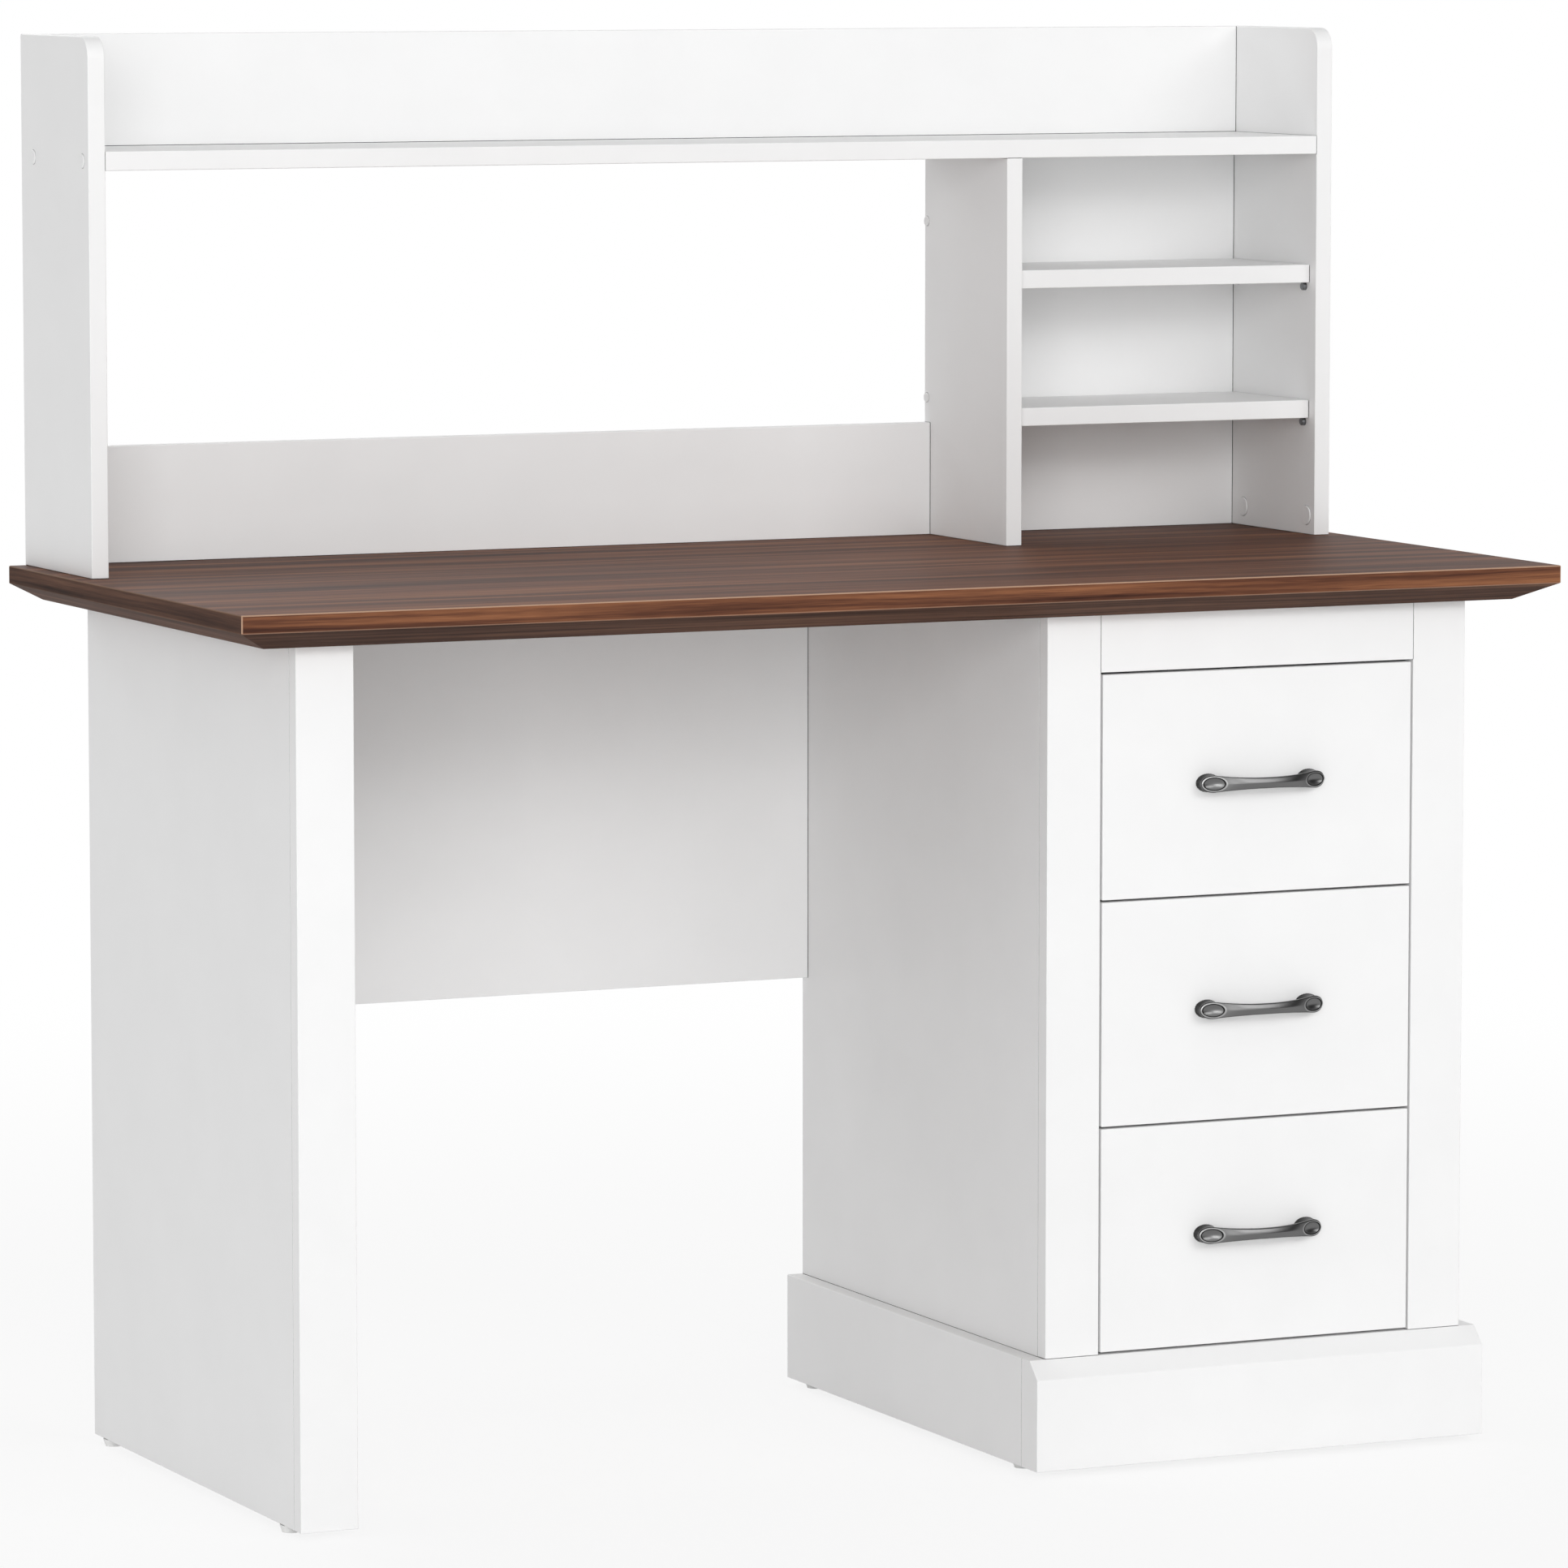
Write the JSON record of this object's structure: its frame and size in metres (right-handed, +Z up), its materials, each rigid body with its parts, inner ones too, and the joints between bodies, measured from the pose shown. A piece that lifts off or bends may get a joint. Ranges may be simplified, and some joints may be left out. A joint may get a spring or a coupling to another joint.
{
  "type": "desk with shelf hutch",
  "caption": "Pedestal desk with a bevelled woodgrain top, inset drawers on telescopic slides, a modesty panel and a white shelf hutch with cubbies.",
  "frame": {"origin": "on the floor, under the middle of the desktop", "axes": "+Z up out of the work surface, drawers open towards -Y, pedestal on the +X side"},
  "size_m": [1.2, 0.55, 1.207],
  "materials": {
    "white_laminate": "matte melamine",
    "walnut_laminate": "satin woodgrain",
    "white_hardboard": "matte lacquer",
    "black_nickel_zinc": "satin black nickel on cast zinc",
    "zinc_plated_steel": "bright zinc plating",
    "cast_zinc": "as cast",
    "white_plastic": "moulded",
    "glide_plastic": "moulded",
    "beech": "fluted and dry",
    "pine": "planed"
  },
  "bodies": {
    "desk_frame": {"cam_bolts": "zinc_plated_steel", "cam_locks": "cast_zinc", "cover_caps": "white_plastic", "cubby_shelves": "white_laminate", "desktop": "walnut_laminate", "dowels": "beech", "foot_glides": "glide_plastic", "hutch_cubby_back_panel": "white_laminate", "hutch_divider": "white_laminate", "hutch_left_upright": "white_laminate", "hutch_lower_back_rail": "white_laminate", "hutch_right_upright": "white_laminate", "hutch_top_shelf": "white_laminate", "hutch_upper_back_board": "white_laminate", "left_leg_front_stile": "white_laminate", "left_leg_side_panel": "white_laminate", "modesty_panel": "white_laminate", "panel_screws": "zinc_plated_steel", "pedestal_back_panel": "white_laminate", "pedestal_bottom_panel": "white_laminate", "pedestal_left_side_panel": "white_laminate", "pedestal_left_stile": "white_laminate", "pedestal_right_side_panel": "white_laminate", "pedestal_right_stile": "white_laminate", "pedestal_top_rail": "white_laminate", "pedestal_top_stretchers": "white_laminate", "plinth_front_board": "white_laminate", "plinth_left_board": "white_laminate", "plinth_right_board": "white_laminate", "shelf_pins": "zinc_plated_steel", "slide_fixed_rails": "zinc_plated_steel", "slide_fixed_screws": "zinc_plated_steel", "slide_packers": "pine"},
    "top_drawer": {"top_drawer_back": "white_laminate", "top_drawer_bottom": "white_hardboard", "top_drawer_front": "white_laminate", "top_drawer_handle": "black_nickel_zinc", "top_drawer_left_side": "white_laminate", "top_drawer_rails": "zinc_plated_steel", "top_drawer_right_side": "white_laminate", "top_drawer_screws": "zinc_plated_steel"},
    "top_drawer_runners": {"top_drawer_middle_rails": "zinc_plated_steel"},
    "middle_drawer": {"middle_drawer_back": "white_laminate", "middle_drawer_bottom": "white_hardboard", "middle_drawer_front": "white_laminate", "middle_drawer_handle": "black_nickel_zinc", "middle_drawer_left_side": "white_laminate", "middle_drawer_rails": "zinc_plated_steel", "middle_drawer_right_side": "white_laminate", "middle_drawer_screws": "zinc_plated_steel"},
    "middle_drawer_runners": {"middle_drawer_middle_rails": "zinc_plated_steel"},
    "bottom_drawer": {"bottom_drawer_back": "white_laminate", "bottom_drawer_bottom": "white_hardboard", "bottom_drawer_front": "white_laminate", "bottom_drawer_handle": "black_nickel_zinc", "bottom_drawer_left_side": "white_laminate", "bottom_drawer_rails": "zinc_plated_steel", "bottom_drawer_right_side": "white_laminate", "bottom_drawer_screws": "zinc_plated_steel"},
    "bottom_drawer_runners": {"bottom_drawer_middle_rails": "zinc_plated_steel"}
  },
  "joints": [
    {"name": "top_drawer_slide", "type": "slide", "parent": "desk_frame", "child": "top_drawer", "axis": [0, -1, 0], "range_m": [0, 0.4]},
    {"name": "top_drawer_runner_slide", "type": "slide", "parent": "desk_frame", "child": "top_drawer_runners", "axis": [0, -1, 0], "range_m": [0, 0.2]},
    {"name": "middle_drawer_slide", "type": "slide", "parent": "desk_frame", "child": "middle_drawer", "axis": [0, -1, 0], "range_m": [0, 0.4]},
    {"name": "middle_drawer_runner_slide", "type": "slide", "parent": "desk_frame", "child": "middle_drawer_runners", "axis": [0, -1, 0], "range_m": [0, 0.2]},
    {"name": "bottom_drawer_slide", "type": "slide", "parent": "desk_frame", "child": "bottom_drawer", "axis": [0, -1, 0], "range_m": [0, 0.4]},
    {"name": "bottom_drawer_runner_slide", "type": "slide", "parent": "desk_frame", "child": "bottom_drawer_runners", "axis": [0, -1, 0], "range_m": [0, 0.2]}
  ],
  "couplings": [
    {"joint": "top_drawer_runner_slide", "follows": "top_drawer_slide", "ratio": 0.5},
    {"joint": "middle_drawer_runner_slide", "follows": "middle_drawer_slide", "ratio": 0.5},
    {"joint": "bottom_drawer_runner_slide", "follows": "bottom_drawer_slide", "ratio": 0.5}
  ]
}
